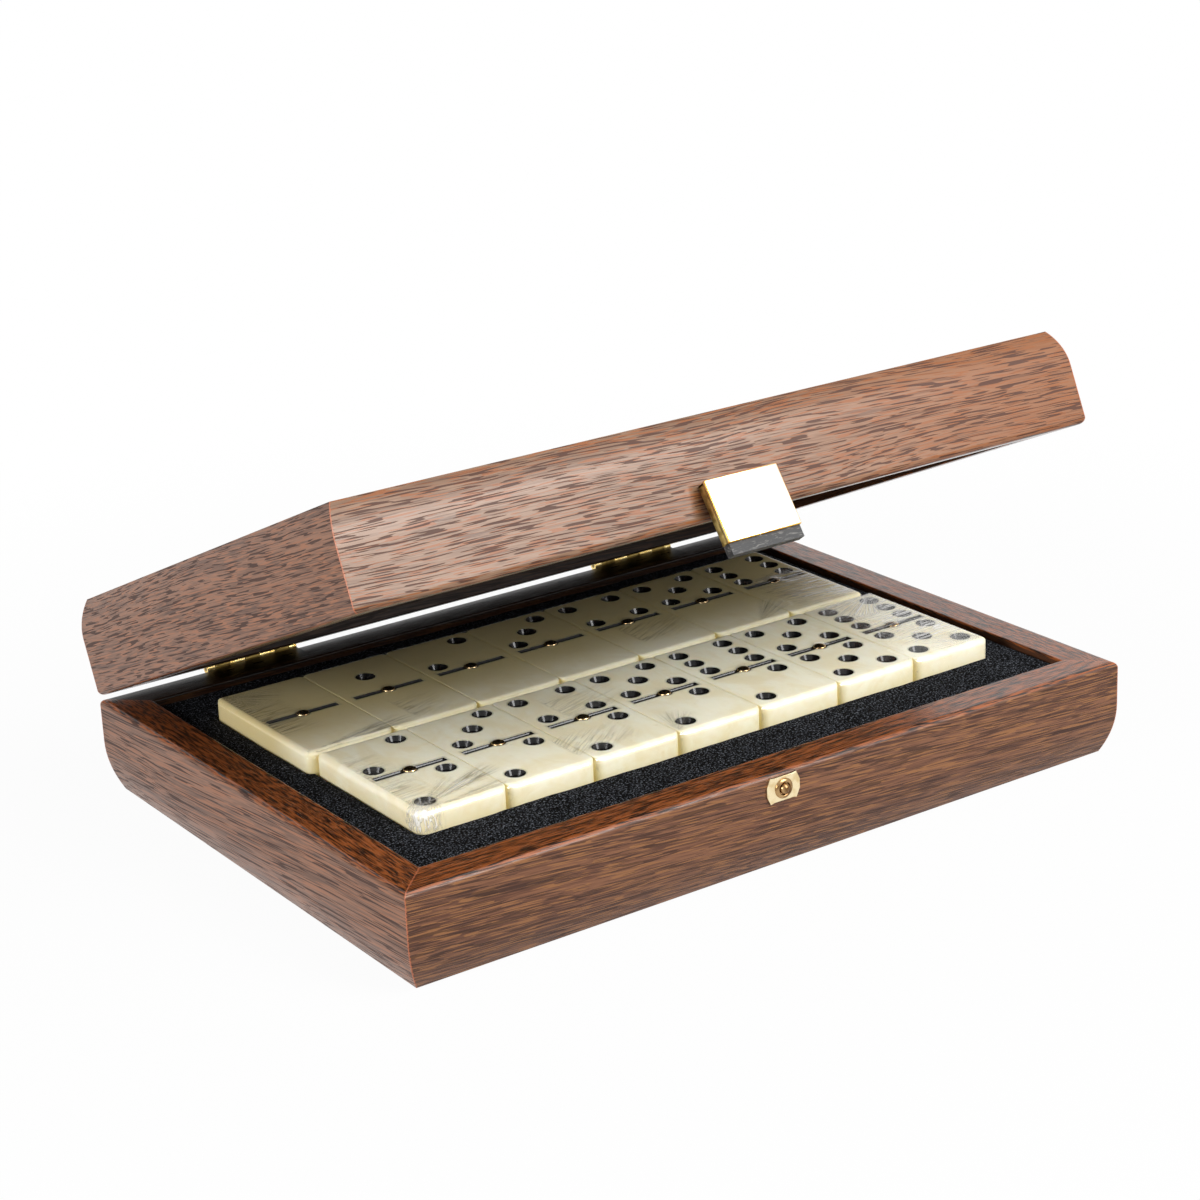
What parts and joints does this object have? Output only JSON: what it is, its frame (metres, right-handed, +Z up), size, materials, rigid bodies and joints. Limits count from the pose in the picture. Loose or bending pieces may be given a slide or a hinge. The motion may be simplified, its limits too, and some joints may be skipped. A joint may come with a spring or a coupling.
{
  "type": "domino storage box",
  "caption": "Hinged wooden box with mitred moulded rails, a press-stud latch and a cut foam tray that holds a set of dominoes lying flat in layers.",
  "frame": {"origin": "middle of the underside, on the plane it stands on", "axes": "+X along the front, to the right seen from the front; +Y from the front to the hinges; +Z up"},
  "size_m": [0.24, 0.181, 0.121],
  "materials": {
    "wood": "satin",
    "foam": "matte",
    "lining": "matte",
    "brass": "polished",
    "tab": "satin",
    "tile": "gloss"
  },
  "bodies": {
    "case": {"base_front_rail": "wood", "base_back_rail": "wood", "base_left_rail": "wood", "base_right_rail": "wood", "base_bottom_panel": "wood", "foam_floor": "foam", "foam_frame": "foam", "left_hinge_base_leaf": "brass", "right_hinge_base_leaf": "brass", "left_hinge_pin": "brass", "right_hinge_pin": "brass", "hinge_screws_base": "brass", "keeper_plate": "brass", "keeper_stud": "brass"},
    "lid": {"lid_front_rail": "wood", "lid_back_rail": "wood", "lid_left_rail": "wood", "lid_right_rail": "wood", "lid_top_panel": "wood", "lid_lining": "lining", "left_hinge_lid_leaf": "brass", "right_hinge_lid_leaf": "brass", "hinge_screws_lid": "brass", "latch_root": "tab", "latch_screws": "brass"},
    "latch": {"latch_plate": "brass", "latch_channel": "brass", "latch_tab": "tab"},
    "domino_set": {"domino_0_0": "tile", "domino_1_0": "tile", "domino_2_0": "tile", "domino_3_0": "tile", "domino_4_0": "tile", "domino_5_0": "tile", "domino_6_0": "tile", "domino_2_2": "tile", "domino_3_2": "tile", "domino_4_2": "tile", "domino_5_2": "tile", "domino_6_2": "tile", "domino_5_5": "tile", "domino_6_5": "tile", "domino_1_1": "tile", "domino_2_1": "tile", "domino_3_1": "tile", "domino_4_1": "tile", "domino_5_1": "tile", "domino_6_1": "tile", "domino_3_3": "tile", "domino_4_3": "tile", "domino_5_3": "tile", "domino_6_3": "tile", "domino_4_4": "tile", "domino_5_4": "tile", "domino_6_4": "tile", "domino_6_6": "tile", "spinners_top_layer": "brass", "spinners_bottom_layer": "brass"}
  },
  "joints": [
    {"name": "lid_hinge", "type": "hinge", "parent": "case", "child": "lid", "pos_m": [0, 0.0861, 0.02815], "axis": [-1, 0, 0], "range_deg": [-23.5, 156.5]},
    {"name": "latch_flex", "type": "hinge", "parent": "lid", "child": "latch", "pos_m": [-0.003, -0.06725, 0.10557], "axis": [-1, 0, 0], "range_deg": [-12.7, 15], "stiffness_Nm_per_rad": 0.05},
    {"name": "domino_lift", "type": "slide", "parent": "case", "child": "domino_set", "axis": [0, 0, 1], "range_m": [0, 0.0175]}
  ]
}
